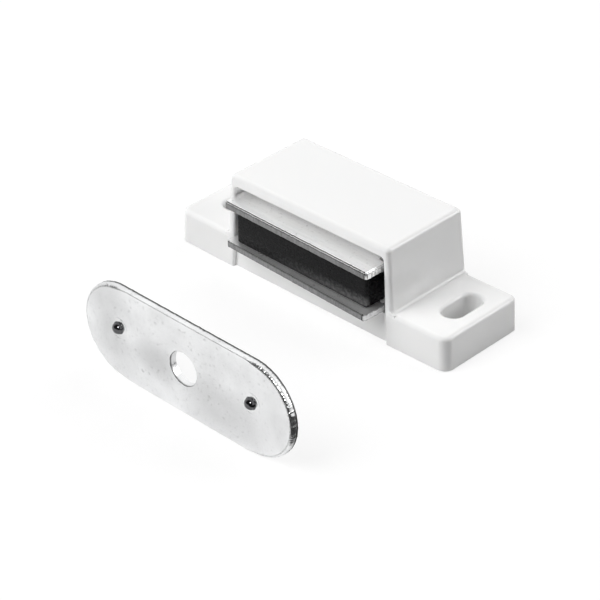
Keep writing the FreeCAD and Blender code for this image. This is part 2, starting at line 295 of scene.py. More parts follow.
def rim_grid(points, outwards, out, height):
    """A rim carried round an outline: point (i, j) is outline point i, moved by out (i, j) along its
    outward direction, at height (i, j)."""
    out = np.broadcast_to(out, (len(points), np.shape(out)[-1]))
    height = np.broadcast_to(height, out.shape)
    flat = points[:, None, :] + outwards[:, None, :] * out[:, :, None]
    return np.concatenate((flat, height[:, :, None]), 2)


def grid_quads(rows, columns, first=0):
    """Quads of a grid whose rows run round an outline to the left and whose columns run up its outside.

    The points are numbered row by row, on from first.
    """
    i, j = np.meshgrid(np.arange(rows), np.arange(columns - 1), indexing="ij")
    after = (i + 1) % rows
    corners = (i * columns + j, after * columns + j, after * columns + j + 1, i * columns + j + 1)
    return (np.stack(corners, -1).reshape(-1, 4) + first).tolist()


def capped_rim(grid):
    """Faces of a rim, and of the flat upper and lower face that close it."""
    rows, columns = grid.shape[:2]
    start = np.arange(rows) * columns
    return [*grid_quads(rows, columns), (start + columns - 1).tolist(), start[::-1].tolist()]


def carried(points, outwards, profile, cut, thickness, ragged, seed):
    """A rim with a profile carried round an outline.

    The profile's rows are (out in millimetres, share of the thickness), for the whole outline or for each
    of its points. The rows between the flat faces wander in and out by ragged millimetres, and the cut, one
    value for each row, wanders with them. Returns the rim's grid and its cut.
    """
    profile = np.broadcast_to(profile, (len(points), *np.shape(profile)[-2:]))
    share = profile[:, :, 1]
    from_faces = np.clip(np.minimum(share, 1.0 - share) / FACE_MARGIN, 0.0, 1.0)
    swing = ragged * from_faces * MM
    coarse = wander(points, COARSE_WAVES, seed)[:, None]
    fine = wander(points, FINE_WAVES, seed + 1)[:, None]
    out = profile[:, :, 0] * MM + (coarse + fine) * swing
    below_top = share < 1.0 - FACE_MARGIN
    height = share * thickness + (fine * 0.6 - coarse * 0.4) * swing * below_top
    half_cut = (cut > 0.15) & (cut < 0.9)
    return rim_grid(points, outwards, out, height), np.clip(cut + 0.45 * fine * half_cut, 0.0, 1.0)


def turned(points, angle, centre, shift):
    """Points turned about an upright axis through centre, then moved by shift."""
    flat = points[:, :2] - np.asarray(centre)
    c, s = math.cos(angle), math.sin(angle)
    spun = np.stack((flat[:, 0] * c - flat[:, 1] * s, flat[:, 0] * s + flat[:, 1] * c), 1)
    return np.concatenate((spun + np.asarray(centre), points[:, 2:]), 1) + np.asarray(shift)


def make_mesh(name, points, faces, marks=None):
    """A mesh with smooth faces that break at sharp edges, and flat faces where they have many sides.

    The marks are named values, one for each point.
    """
    mesh = bpy.data.meshes.new(name)
    mesh.from_pydata(np.asarray(points).tolist(), [], faces)
    for key, values in (marks or {}).items():
        layer = mesh.attributes.new(key, "FLOAT", "POINT")
        layer.data.foreach_set("value", np.ascontiguousarray(values, np.float32))
    tool = bmesh.new()
    tool.from_mesh(mesh)
    bmesh.ops.remove_doubles(tool, verts=tool.verts, dist=1e-4 * MM)
    tool.to_mesh(mesh)
    tool.free()
    corners = np.empty(len(mesh.polygons), np.int32)
    mesh.polygons.foreach_get("loop_total", corners)
    mesh.polygons.foreach_set("use_smooth", corners <= 4)
    mesh.set_sharp_from_angle(angle=math.radians(35.0))
    return mesh


def new_object(name, mesh, material):
    """The mesh as an object of this material in the scene."""
    piece = bpy.data.objects.new(name, mesh)
    mesh.materials.append(material)
    bpy.context.scene.collection.objects.link(piece)
    return piece


# The sheared edge of a pole plate, from its lower to its upper face: out in millimetres, share of the
# thickness, how far it is cut steel, how dark its painted shade line is.
SHEARED_EDGE = np.array((
    (-0.34, 0, 0, 0),
    (-0.3, 0, 0, 0),
    (-0.1, 0, 0.3, 0),
    (-0.04, 0.012, 1, 0.6),
    (-0.01, 0.04, 1, 0.5),
    (0, 0.1, 0.9, 0),
    (0, 0.3, 0.9, 0),
    (0.004, 0.5, 0.9, 0),
    (0, 0.66, 0.9, 0),
    (-0.01, 0.77, 1, 0.7),
    (-0.03, 0.81, 1, 0.8),
    (-0.05, 0.83, 0.3, 0),
    (-0.14, 0.85, 0, 0),
    (-0.16, 0.865, 0.8, 0.7),
    (-0.18, 0.91, 0.8, 0.7),
    (-0.2, 0.95, 0.3, 0),
    (-0.225, 0.98, 0, 0),
    (-0.26, 0.996, 0, 0),
    (-0.3, 1, 0, 0),
    (-0.34, 1, 0, 0),
))
# Radii in millimetres of the corners at a notch's mouth and at its bottom.
NOTCH_MOUTH, NOTCH_BOTTOM = 0.36, 0.3
# The painted shade line down a front corner: how dark it is, and the sideways parts of the outward
# directions that it lies between.
CORNER_SHADE = 0.8
CORNER_FROM, CORNER_TO = 0.04, 0.36
# Mean and swing of the painted shade lines along the edges.
LINE_MEAN, LINE_SWING = 0.75, 0.4
# How much less torn the side walls are than the front one.
SIDE_LESS_TORN = 0.75


def pole_plate_mesh(sizes, burr_up, seed):
    """A sheared plate: a rim with a torn wall, a small ledge and a rolled upper edge is carried round the
    notched outline, and two flat faces close it. With the burr up, the rim's profile is upside down.

    Returns the points, the faces and the marks. Painted shade lines run along the edges, broken at random,
    and down the front corners where they begin to turn. The side walls are less torn than the front one.
    """
    front_half, rear_half = sizes.half_width, sizes.rear_half_width
    mouth, bottom = NOTCH_MOUTH * MM, NOTCH_BOTTOM * MM
    right = [
        (front_half, sizes.front, sizes.corner),
        (front_half, sizes.notch_front, mouth),
        (sizes.notch_half, sizes.notch_front, bottom),
        (sizes.notch_half, sizes.notch_rear, bottom),
        (rear_half, sizes.notch_rear, mouth),
        (rear_half, sizes.rear, sizes.corner),
    ]
    left = [(-x, y, radius) for x, y, radius in reversed(right)]
    points, outwards = closed_outline(right + left, step=0.12 * MM, arc_step=0.06 * MM)
    profile = SHEARED_EDGE
    if burr_up:
        profile = profile[::-1] * (1, -1, 1, 1) + (0, 1, 0, 0)
    cut_rows, line_rows = profile[:, 2], profile[:, 3]
    grid, cut = carried(
        points, outwards, profile[:, :2], cut_rows, sizes.thickness, ragged=0.012, seed=seed
    )
    sideways = np.abs(outwards[:, 0])
    at_front = points[:, 1] < sizes.front + sizes.corner
    at_corner = (sideways > CORNER_FROM) & (sideways < CORNER_TO) & at_front
    corner_line = at_corner[:, None] * (cut_rows > 0.2)
    # Painted shade: near-black lines along the edges, broken at random, and down the front corners.
    swing = LINE_SWING * wander(points, DARK_LINE_WAVES, seed + 5)
    broken = np.clip(LINE_MEAN + swing, 0.0, 1.0)[:, None]
    dark = np.maximum(line_rows * broken, CORNER_SHADE * corner_line)
    at_side = np.clip(sideways * 2.5 - 0.6, 0.0, 1.0)
    cut = cut * (1.0 - SIDE_LESS_TORN * at_side)[:, None]
    return grid.reshape(-1, 3), capped_rim(grid), {"cut": cut.ravel(), "dark": dark.ravel()}


# The magnet's edges, from its underside to its top: out and height in millimetres.
GROUND_EDGE = np.array((
    (-0.22, 0), (-0.17, 0), (-0.11, 0.02), (-0.04, 0.08), (-0.01, 0.13), (0, 0.2), (0, 2.5),
    (0, 4.8), (-0.01, 4.87), (-0.04, 4.92), (-0.11, 4.98), (-0.17, 5.0), (-0.22, 5.0),
))
GROUND_HEIGHT = 5.0
# Depth of the chips along its edges, and how fast they fade away from an edge, in millimetres.
CHIP_DEPTH = 0.03
CHIP_FADE = 0.06


def magnet_mesh(sizes):
    """The ground block: a rim with broken edges is carried round a rounded oblong, and two flat faces close
    it. Small chips run along the edges. Returns the points and the faces."""
    half = sizes.half_width
    corners = [
        (x, y, sizes.corner)
        for x, y in ((-half, sizes.front), (half, sizes.front), (half, sizes.rear), (-half, sizes.rear))
    ]
    points, outwards = closed_outline(corners, step=0.12 * MM, arc_step=0.05 * MM)
    out = GROUND_EDGE[:, 0]
    height = GROUND_EDGE[:, 1] * (sizes.thickness / GROUND_HEIGHT / MM)
    from_edge = np.minimum(height, GROUND_HEIGHT - height)
    chips = np.abs(wander(points, CHIP_WAVES, seed=5))[:, None]
    chipped = np.exp(-from_edge / CHIP_FADE) * (out > -0.15)
    grid = rim_grid(points, outwards, (out - CHIP_DEPTH * chips * chipped) * MM, height * MM)
    return grid.reshape(-1, 3), capped_rim(grid)


# The striker plate's edge, from its catch side to its door side: out in millimetres and share of the
# thickness. Its lower half is the same all round, and its upper half rolls over more at the ends.
# STRIKER_CUT is how far each row is torn steel.
LOWER_HALF = (
    (-0.56, 0), (-0.5, 0), (-0.04, 0), (-0.01, 0.02), (0, 0.06), (0, 0.12), (0, 0.18), (0, 0.3), (0, 0.42),
)
ROUND_END = np.array((
    *LOWER_HALF, (-0.008, 0.53), (-0.03, 0.63), (-0.07, 0.73), (-0.125, 0.82), (-0.2, 0.89),
    (-0.29, 0.95), (-0.38, 0.985), (-0.46, 0.998), (-0.5, 1), (-0.56, 1),
))
LONG_EDGE = np.array((
    *LOWER_HALF, (-0.001, 0.53), (-0.003, 0.63), (-0.006, 0.73), (-0.011, 0.82), (-0.02, 0.89),
    (-0.035, 0.95), (-0.06, 0.98), (-0.11, 0.997), (-0.5, 1), (-0.56, 1),
))
STRIKER_CUT = np.array((0, 0, 0.6, 1, 1, 1, 1, 0.3, 0, 0, 0, 0, 0, 0, 0.25, 0.3, 0, 0, 0))
# The one turns into the other over this run in millimetres, which ends this far past the straight edge.
CHANGE_RUN = 1.5
CHANGE_PAST = 0.5
# The screw hole's wall, from its catch side: out in millimetres and share of the thickness.
HOLE_WALL = np.array((
    (0.05, 0), (0.01, 0.02), (0, 0.06), (0.03, 0.3), (0.02, 0.55), (0, 0.7), (0, 0.93),
    (0.02, 0.98), (0.05, 1),
))
# Rays out from the middle of a pip or hole. Its rings are circles, with one point on each ray.
RAYS = 96
# Angles in degrees, from its top, of the rings on a pip's crown.
CROWN_RINGS = np.linspace(1.5, 80.0, 14)
# Radii in millimetres of the rings out from a pip's foot, and out from the screw hole's radius.
PIP_RINGS = np.array((0.845, 0.86, 0.9, 1.0, 1.2, 1.3, 1.34, 1.38, 1.42, 1.46, 1.5, 1.54, 1.6))
HOLE_RINGS = np.array((0.05, 0.09, 0.3, 0.8))
# Radii of the rings of a punch mark, as shares of its own radius.
MARK_RINGS = np.append(np.sin(np.linspace(0.03, 0.5 * np.pi, 12)), (1.06, 1.12))
# Half sides in millimetres of the squares that the rings fill.
PIP_SQUARE = 3.0
HOLE_SQUARE = 4.5


def ray_directions():
    """Directions of the rays on which the points round a pip or a hole lie."""
    angle = np.arange(RAYS) * 2.0 * np.pi / RAYS
    return np.stack((np.cos(angle), np.sin(angle)), 1)


def ring_patch(centre, radii, heights, half, level):
    """Rings round a feature, out to a square: ring k is a circle of radius k at height k.

    A point of the square, at the height level, lies on the same ray from the centre as its rings' points.
    Returns the grid with one row for each ray and one column for each ring.
    """
    ray = ray_directions()
    square = half / np.abs(ray).max(1)
    reach = np.concatenate((np.tile(radii, (RAYS, 1)), square[:, None]), 1)
    height = np.broadcast_to(np.append(heights, level), reach.shape)
    flat = np.asarray(centre) + ray[:, None, :] * reach[:, :, None]
    return np.concatenate((flat, height[:, :, None]), 2)


def plate_side(ring, halfway, patches, closed, first):
    """Faces of one flat side of a plate: the rings of its patches, two flat panels between them and the
    plate's rim, which meet on the middle line, and a cap in each patch that is closed.

    The ring holds the rim's point numbers to the left from the right end, and halfway is the left end's
    place in it. The patches run from left to right, and their points are numbered on from first.
    """
    faces, squares, caps = [], [], []
    count = first
    for patch, has_cap in zip(patches, closed):
        rows, columns = patch.shape[:2]
        start = count + np.arange(rows) * columns
        faces += np.array(grid_quads(rows, columns, count))[:, ::-1].tolist()
        squares.append(start + columns - 1)
        if has_cap:
            caps.append(start.tolist())
        count += rows * columns
    upper = [square[: RAYS // 2 + 1][::-1] for square in squares]
    lower = [np.append(square[RAYS // 2:], square[0])[::-1] for square in squares[::-1]]
    faces.append(np.concatenate((ring[: halfway + 1], *upper)).tolist())
    faces.append(np.concatenate((ring[halfway:], ring[:1], *lower)).tolist())
    return faces + caps


def pip_rise(radius, sizes):
    """Height of a pip: a ball that stands out of the sheet, a soft root, and a faint ring round it where
    the punch's sleeve pressed."""
    sunk_centre = sizes.pip_ball - sizes.pip_height
    ball = np.sqrt(np.maximum(sizes.pip_ball**2 - radius**2, 0.0)) - sunk_centre
    # Clipped, so that the exponential stays small.
    within = np.clip(ball, -1.0 * MM, 0.3 * MM)
    root = sizes.pip_root * np.log1p(np.exp(within / sizes.pip_root))
    pressed = sizes.ring_depth * np.exp(-(((radius - sizes.ring) / sizes.ring_width) ** 2))
    return np.where(ball > 0.25 * MM, ball, root) - pressed


def striker_mesh(sizes):
    """The punched striker plate, lying with its door side up at height nothing.

    A rim is carried round the outline, with a wide roll-over round the ends and a narrow one on the long
    edges. Rings round the hole and the two pips, and flat panels between them, make the two sides, and a
    wall closes the hole. Returns the points, the faces and the marks.
    """
    end, edge = sizes.length / 2, sizes.width / 2
    corners = [(end, -edge, edge), (end, edge, edge), (-end, edge, edge), (-end, -edge, edge)]
    points, outwards = closed_outline(corners, step=0.14 * MM, arc_step=0.1 * MM)
    right_end = int(np.argmax(points[:, 0]))
    points, outwards = np.roll(points, -right_end, 0), np.roll(outwards, -right_end, 0)
    halfway = int(np.argmin(points[:, 0]))
    before_end = end - edge + CHANGE_PAST * MM - np.abs(points[:, 0])
    straight = np.clip(before_end / (CHANGE_RUN * MM), 0.0, 1.0)[:, None, None]
    profile = ROUND_END + (LONG_EDGE - ROUND_END) * straight
    rim, rim_cut = carried(
        points, outwards, profile, STRIKER_CUT, sizes.thickness, ragged=0.01, seed=29
    )
    rim[:, :, 2] -= sizes.thickness
    rows, columns = rim.shape[:2]
    start = np.arange(rows) * columns

    hole, half_pips = sizes.hole / 2, sizes.pip_spacing / 2
    crown = sizes.pip_ball * np.sin(np.radians(CROWN_RINGS))
    pip_radii = np.append(crown, PIP_RINGS * MM)
    # Painted shade: each pip's polished spot is also painted dark.
    pip_polished_and_painted_dark = np.append(pip_radii < sizes.pip_foot, 0.0)
    mark_radii = sizes.dimple * MARK_RINGS
    hollow = np.maximum(1.0 - MARK_RINGS**2, 0.0) ** 0.6
    hole_radii = hole + HOLE_RINGS * MM
    back_level = -sizes.thickness
    front, back, polished_and_painted_dark = [], [], []
    is_pip = (True, False, True)
    for pip, place in zip(is_pip, sizes.hole_offset + np.array((-half_pips, 0.0, half_pips))):
        if pip:
            centre, half = (place, sizes.pip_offset), PIP_SQUARE * MM
            heights = pip_rise(pip_radii, sizes)
            depths = back_level + sizes.dimple_depth * hollow
            front.append(ring_patch(centre, pip_radii, heights, half, 0.0))
            back.append(ring_patch(centre, mark_radii, depths, half, back_level))
            polished_and_painted_dark.append(np.tile(pip_polished_and_painted_dark, RAYS))
        else:
            centre, half = (place, 0.0), HOLE_SQUARE * MM
            front.append(ring_patch(centre, hole_radii, np.zeros(len(hole_radii)), half, 0.0))
            depths = np.full(len(hole_radii), back_level)
            back.append(ring_patch(centre, hole_radii, depths, half, back_level))
            polished_and_painted_dark.append(np.zeros(RAYS * (len(hole_radii) + 1)))
    polished_and_painted_dark = np.concatenate(polished_and_painted_dark)
    front_first = rows * columns
    back_first = front_first + len(polished_and_painted_dark)
    wall_first = back_first + sum(patch[:, :, 0].size for patch in back)

    wall_reach = hole + HOLE_WALL[:, 0] * MM
    wall = np.empty((RAYS, len(HOLE_WALL), 3))
    wall[:, :, :2] = ray_directions()[:, None, :] * wall_reach[:, None]
    wall[:, :, 0] += sizes.hole_offset
    wall[:, :, 2] = (HOLE_WALL[:, 1] - 1.0) * sizes.thickness

    faces = grid_quads(rows, columns)
    faces += plate_side(start + columns - 1, halfway, front, is_pip, front_first)
    faces += [face[::-1] for face in plate_side(start, halfway, back, is_pip, back_first)]
    faces += np.array(grid_quads(RAYS, len(HOLE_WALL), wall_first))[:, ::-1].tolist()
    all_points = np.concatenate([block.reshape(-1, 3) for block in (rim, *front, *back, wall)])
    cut, dark = np.zeros(len(all_points)), np.zeros(len(all_points))
    cut[:front_first] = rim_cut.ravel()
    torn_end = np.interp(HOLE_WALL[:, 1], (0.9, 0.94, 1.0), (0.0, 1.0, 1.0))
    cut[wall_first:] = np.tile(torn_end, RAYS)
    dark[front_first:back_first] = polished_and_painted_dark
    return all_points, faces, {"cut": cut, "dark": dark}


# Finishes


class Nodes:
    """Adds linked shader nodes to an emptied tree."""

    def __init__(self, tree):
        tree.nodes.clear()
        self.tree = tree

    def add(self, kind, settings=None, **inputs):
        """A node with its settings, and values or links for its inputs.

        An input is named with underscores for spaces, or by an underscore and its number.
        """
        node = self.tree.nodes.new("ShaderNode" + kind)
        for key, value in (settings or {}).items():
            setattr(node, key, value)
        for key, value in inputs.items():
            number = key[1:]
            socket = node.inputs[int(number) if number.isdigit() else key.replace("_", " ")]
            if isinstance(value, bpy.types.NodeSocket):
                self.tree.links.new(value, socket)
            else:
                socket.default_value = value
        return node

    def place(self):
        """Place on the object, in metres."""
        return self.add("TexCoord").outputs["Object"]

    def noise(self, place, scale, detail, roughness):
        """A noise value, mostly between 0.3 and 0.7."""
        node = self.add("TexNoise", Vector=place, Scale=scale, Detail=detail, Roughness=roughness)
        return node.outputs["Fac"]

    def ramp(self, value, start, end, low=0.0, high=1.0, settings=None):
        """A value that is carried from start..end to low..high and held outside."""
        node = self.add(
            "MapRange", settings, Value=value, From_Min=start, From_Max=end, To_Min=low, To_Max=high
        )
        return node.outputs["Result"]

    def product(self, value, *factors):
        """A value times its factors."""
        for factor in factors:
            value = self.add("Math", {"operation": "MULTIPLY"}, _0=value, _1=factor).outputs["Value"]
        return value

    def scaled(self, vector, factor):
        """A vector or colour times a value."""
        node = self.add("VectorMath", {"operation": "SCALE"}, _0=vector, Scale=factor)
        return node.outputs["Vector"]

    def mixed(self, share, first, second):
        """A value between the first and the second."""
        return self.add("Mix", {"data_type": "FLOAT"}, _0=share, _2=first, _3=second).outputs[0]

    def mixed_colour(self, share, first, second):
        """A colour between the first and the second."""
        return self.add("Mix", {"data_type": "RGBA"}, _0=share, _6=first, _7=second).outputs[2]

    def bump(self, height, strength, distance, **under):
        """A surface direction that follows a height, over the one under it if that is given."""
        node = self.add("Bump", Strength=strength, Distance=distance, Height=height, **under)
        return node.outputs["Normal"]

    def paint(self, colour):
        """Dull paint."""
        return self.add("BsdfDiffuse", Color=(*colour, 1.0)).outputs["BSDF"]

    def glowing(self, shader, strength):
        """A shader with white light added."""
        glow = self.add("Emission", Strength=strength).outputs["Emission"]
        return self.add("AddShader", _0=shader, _1=glow).outputs["Shader"]

    def either(self, share, first, second):
        """The first shader, or the second where the share is 1."""
        return self.add("MixShader", _0=share, _1=first, _2=second).outputs["Shader"]


def new_material(name):
    """An empty material and its nodes."""
    material = bpy.data.materials.new(name)
    material.use_nodes = True
    return material, Nodes(material.node_tree)


def plastic_finish(colour):
    """Glossy white moulded plastic that lets a little light through, very slightly wavy from the mould."""
    material, nodes = new_material("white_moulded_plastic")
    place = nodes.place()
    wave = nodes.noise(place, scale=140.0, detail=2.0, roughness=0.5)
    swell = nodes.bump(wave, strength=0.1, distance=0.3 * MM)
    grain = nodes.noise(place, scale=3500.0, detail=2.0, roughness=0.6)
    shader = nodes.add(
        "BsdfPrincipled",
        Base_Color=(*colour, 1.0),
        Roughness=0.12,
        IOR=1.52,
        Subsurface_Weight=0.18,
        Subsurface_Radius=(1.3, 1.25, 1.2),
        Subsurface_Scale=0.8 * MM,
        Normal=nodes.bump(grain, strength=0.03, distance=0.03 * MM, Normal=swell),
    )
    nodes.add("OutputMaterial", Surface=shader.outputs["BSDF"])
    return material


def zinc_finish(
    name, face, sheared, dark, grain, tearing, roughness, metallic, clouds, streaks, stains=()
):
    """Zinc plated sheet: cloudy and finely streaked faces, grained edges in the sheared colour where the
    mark cut is 1, and the painted dark colour where the mark dark is 1 (painted shade lines, painted dark
    pips).

    The grain of the streaks and the tearing of the edges are scales along x, y and z. Clouds and streaks
    are how much they darken. Each stain is (place, size) of a soft darker spot, whose edge follows the
    clouds.
    """
    material, nodes = new_material(name)
    place = nodes.place()
    cloud = nodes.noise(place, scale=230.0, detail=3.0, roughness=0.5)
    rolled = nodes.add("Mapping", Vector=place, Scale=grain).outputs["Vector"]
    streak = nodes.noise(rolled, scale=1.0, detail=4.0, roughness=0.6)
    speck = nodes.noise(place, scale=2100.0, detail=3.0, roughness=0.6)
    shade = nodes.product(
        nodes.ramp(cloud, 0.32, 0.62, 1.0 - clouds),
        nodes.ramp(speck, 0.26, 0.4, 0.72),
        nodes.ramp(streak, 0.3, 0.6, 1.0 - streaks),
    )
    for spot, size in stains:
        centred = nodes.add(
            "Mapping", {"vector_type": "TEXTURE"}, Vector=place, Location=spot, Scale=size
        ).outputs["Vector"]
        ball = nodes.add("TexGradient", {"gradient_type": "SPHERICAL"}, Vector=centred).outputs["Fac"]
        shade = nodes.product(shade, nodes.ramp(nodes.product(ball, cloud), 0.03, 0.34, 1.0, 0.82))

    is_cut = nodes.add("Attribute", {"attribute_name": "cut"}).outputs["Fac"]
    # The mark dark paints shade: near-black lines on the pole plates and dark polished pips on the striker.
    is_dark = nodes.add("Attribute", {"attribute_name": "dark"}).outputs["Fac"]
    torn = nodes.add("Mapping", Vector=place, Scale=tearing).outputs["Vector"]
    tear = nodes.noise(torn, scale=1.0, detail=4.0, roughness=0.7)
    grit = nodes.ramp(tear, 0.3, 0.7, 0.55, 1.6)
    steel = nodes.mixed_colour(is_cut, nodes.scaled(face, shade), nodes.scaled(sheared, grit))
    rough_face = nodes.ramp(cloud, 0.3, 0.7, roughness * 1.2, roughness * 0.8)
    streaked = nodes.bump(streak, strength=0.16, distance=0.02 * MM)
    torn_relief = nodes.product(tear, is_cut)
    shader = nodes.add(
        "BsdfPrincipled",
        Base_Color=nodes.mixed_colour(is_dark, steel, (*dark, 1.0)),
        Metallic=metallic,
        Roughness=nodes.mixed(is_dark, nodes.mixed(is_cut, rough_face, 0.42), 0.1),
        Normal=nodes.bump(torn_relief, strength=0.5, distance=0.06 * MM, Normal=streaked),
    )
    nodes.add("OutputMaterial", Surface=shader.outputs["BSDF"])
    return material


# Where the painted reflection of the lower plate lies on the magnet: along an axis, from none to the full
# reflection in millimetres, and the least share of it. Heights are over the magnet's underside, and the
# last row keeps the joint under it black.
PAINTED_REFLECTION_BAND = (
    ("X", -5.0, 10.5, 0.1),
    ("Y", -7.7, -7.9, 0.0),
    ("Z", 1.7, 0.5, 0.0),
    ("Z", 0.18, 0.3, 0.0),
)


def ferrite_finish(colour, painted_reflection, bottom):
    """Ground black ferrite, with fine pits and a dull sheen. The front is painted paler low down on the
    right: a painted reflection of the lower plate's light, which is mirrored there."""
    material, nodes = new_material("black_ferrite")
    place = nodes.place()
    grain = nodes.noise(place, scale=2200.0, detail=4.0, roughness=0.65)
    pits = nodes.add("TexVoronoi", Vector=place, Scale=900.0).outputs["Distance"]
    pitted = nodes.bump(nodes.ramp(pits, 0.0, 0.12), strength=0.25, distance=0.03 * MM)
    along = nodes.add("SeparateXYZ", Vector=place).outputs
    # Painted reflection: the share of the paler colour, highest low down on the right of the front face.
    reflection_share = nodes.ramp(grain, 0.3, 0.7, 0.6, 1.3)
    for axis, start, end, least in PAINTED_REFLECTION_BAND:
        level = bottom if axis == "Z" else 0.0
        reflection_share = nodes.product(reflection_share, nodes.ramp(along[axis], level + start * MM, level + end * MM, least))
    shader = nodes.add(
        "BsdfPrincipled",
        Base_Color=nodes.mixed_colour(reflection_share, (*colour, 1.0), (*painted_reflection, 1.0)),
        Roughness=nodes.ramp(grain, 0.3, 0.7, 0.2, 0.34),
        IOR=1.5,
        Specular_IOR_Level=0.12,
        Normal=nodes.bump(grain, strength=0.2, distance=0.04 * MM, Normal=pitted),
    )
    nodes.add("OutputMaterial", Surface=shader.outputs["BSDF"])
    return material


# Stage


def towards(azimuth, elevation):
    """Direction from the object: azimuth 0 is the open front, and it turns towards the right."""
    level = math.cos(elevation)
    return Vector((math.sin(azimuth) * level, -math.cos(azimuth) * level, math.sin(elevation)))


def table_finish(stage):
    """White table top, which shows as plain white and keeps a trace of the object's shadow. Where surfaces
    mirror it, it ends in a dark cloth on the right in front."""
    material, nodes = new_material("table_top")
    rays = nodes.add("LightPath").outputs
    along = nodes.add("SeparateXYZ", Vector=nodes.place()).outputs
    right = nodes.ramp(along["X"], stage.cloth_aside, stage.cloth_aside + stage.cloth_side_fade)
    ahead = nodes.ramp(along["Y"], 0.0, -stage.cloth_front_fade)
    bare = nodes.glowing(nodes.paint(stage.mirrored_paint), stage.mirrored_glow)
    mirrored = nodes.either(nodes.product(right, ahead), bare, nodes.paint(stage.cloth))
    seen = nodes.glowing(nodes.paint(stage.table_veil), stage.table_glow)
    unseen = nodes.either(rays["Is Glossy Ray"], nodes.paint(stage.table_paint), mirrored)
    nodes.add("OutputMaterial", Surface=nodes.either(rays["Is Camera Ray"], unseen, seen))
    return material


def white_surround(stage):
    """A surround that shows as white and lights the object at its own level. In reflections it darkens
    towards the unlit room behind the camera."""
    world = bpy.data.worlds.new("white_surround")
    bpy.context.scene.world = world
    world.use_nodes = True
    nodes = Nodes(world.node_tree)
    rays = nodes.add("LightPath").outputs
    direction = nodes.add("TexCoord").outputs["Generated"]
    room = towards(stage.dark_azimuth, stage.dark_elevation)
    cosine = nodes.add("VectorMath", {"operation": "DOT_PRODUCT"}, _0=direction, _1=room).outputs["Value"]
    mirrored = nodes.ramp(
        cosine, stage.dark_start, stage.dark_full, 1.0, stage.dark_level,
        {"interpolation_type": "SMOOTHSTEP"},
    )
    seen = nodes.add(
        "Math", {"operation": "MAXIMUM"}, _0=rays["Is Camera Ray"], _1=rays["Is Transmission Ray"]
    ).outputs["Value"]
    unmirrored = nodes.mixed(seen, stage.surround, 1.0)
    strength = nodes.mixed(rays["Is Glossy Ray"], unmirrored, mirrored)
    background = nodes.add("Background", Color=(1.0, 1.0, 1.0, 1.0), Strength=strength)
    nodes.add("OutputWorld", Surface=background.outputs["Background"])


def area_lamp(name, shape, size, power):
    """An area lamp that neither the camera nor a mirroring surface sees."""
    light = bpy.data.lights.new(name, "AREA")
    light.shape = shape
    light.size = size
    light.energy = power
    holder = bpy.data.objects.new(name, light)
    bpy.context.scene.collection.objects.link(holder)
    holder.visible_camera = False
    holder.visible_glossy = False
    return holder


def table_mesh(stage, corners=64):
    """A flat round table top with its middle under the object."""
    turn = np.linspace(0.0, 2.0 * np.pi, corners, endpoint=False)
    height = np.full(corners, -stage.table_gap)
    rim = np.stack((stage.table_radius * np.cos(turn), stage.table_radius * np.sin(turn), height), 1)
    mesh = bpy.data.meshes.new("table_top")
    mesh.from_pydata(rim.tolist(), [], [list(range(corners))])
    return mesh


class CATCH_OT_stage(bpy.types.Operator):
    """Set the table, the lamps and the camera"""

    bl_idname = "catch.stage"
    bl_label = "Stage"

    def execute(self, context):
        stage = context.scene.catch_stage
        mesh, finish = table_mesh(stage), table_finish(stage)
        new_object("table_top", mesh, finish)
        white_surround(stage)
        for name in ("key", "side", "rear", "spark"):
            azimuth, elevation, size, power = (
                getattr(stage, name + "_" + value) for value in ("azimuth", "elevation", "size", "power")
            )
            # Polished metal mirrors the side and the spark lamp, and the spark lamp does nothing else.
            out = towards(azimuth, elevation)
            holder = area_lamp(name + "_lamp", "DISK", size, power)
            holder.location = out * stage.lamp_distance
            holder.rotation_mode = "QUATERNION"
            holder.rotation_quaternion = out.to_track_quat("Z", "Y")
            holder.visible_glossy = name in ("side", "spark")
            holder.visible_diffuse = name != "spark"
        glow = area_lamp("mouth_glow", "RECTANGLE", stage.mouth_width, stage.mouth_power)
        glow.data.size_y = stage.mouth_depth
        glow.location = (0.0, stage.mouth_place, stage.mouth_height)
        glow.rotation_euler = (math.pi, 0.0, 0.0)

        back = towards(stage.azimuth, stage.elevation)
        level = Vector((math.cos(stage.azimuth), math.sin(stage.azimuth), 0.0))
        upright = back.cross(level)
        right = math.cos(stage.roll) * level + math.sin(stage.roll) * upright
        up = math.cos(stage.roll) * upright - math.sin(stage.roll) * level
        camera = bpy.data.objects.new("camera", bpy.data.cameras.new("camera"))
        camera.data.lens = stage.lens
        camera.data.sensor_width = 36.0
        camera.data.clip_start = 0.01
        camera.data.clip_end = 20.0
        context.scene.collection.objects.link(camera)
        standing = Matrix((right, up, back)).transposed().to_4x4()
        standing.translation = Vector(stage.aim) + back * stage.distance
        camera.matrix_world = standing
        context.scene.camera = camera
        context.scene.view_settings.view_transform = "Standard"
        return {"FINISHED"}


# Pieces


class CATCH_OT_housing(bpy.types.Operator):
    """Finish the moulded housing"""

    bl_idname = "catch.housing"
    bl_label = "Housing"

    def execute(self, context):
        finish = plastic_finish(context.scene.catch_finish.plastic)
        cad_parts["housing"].material_slots[0].material = finish
        return {"FINISHED"}


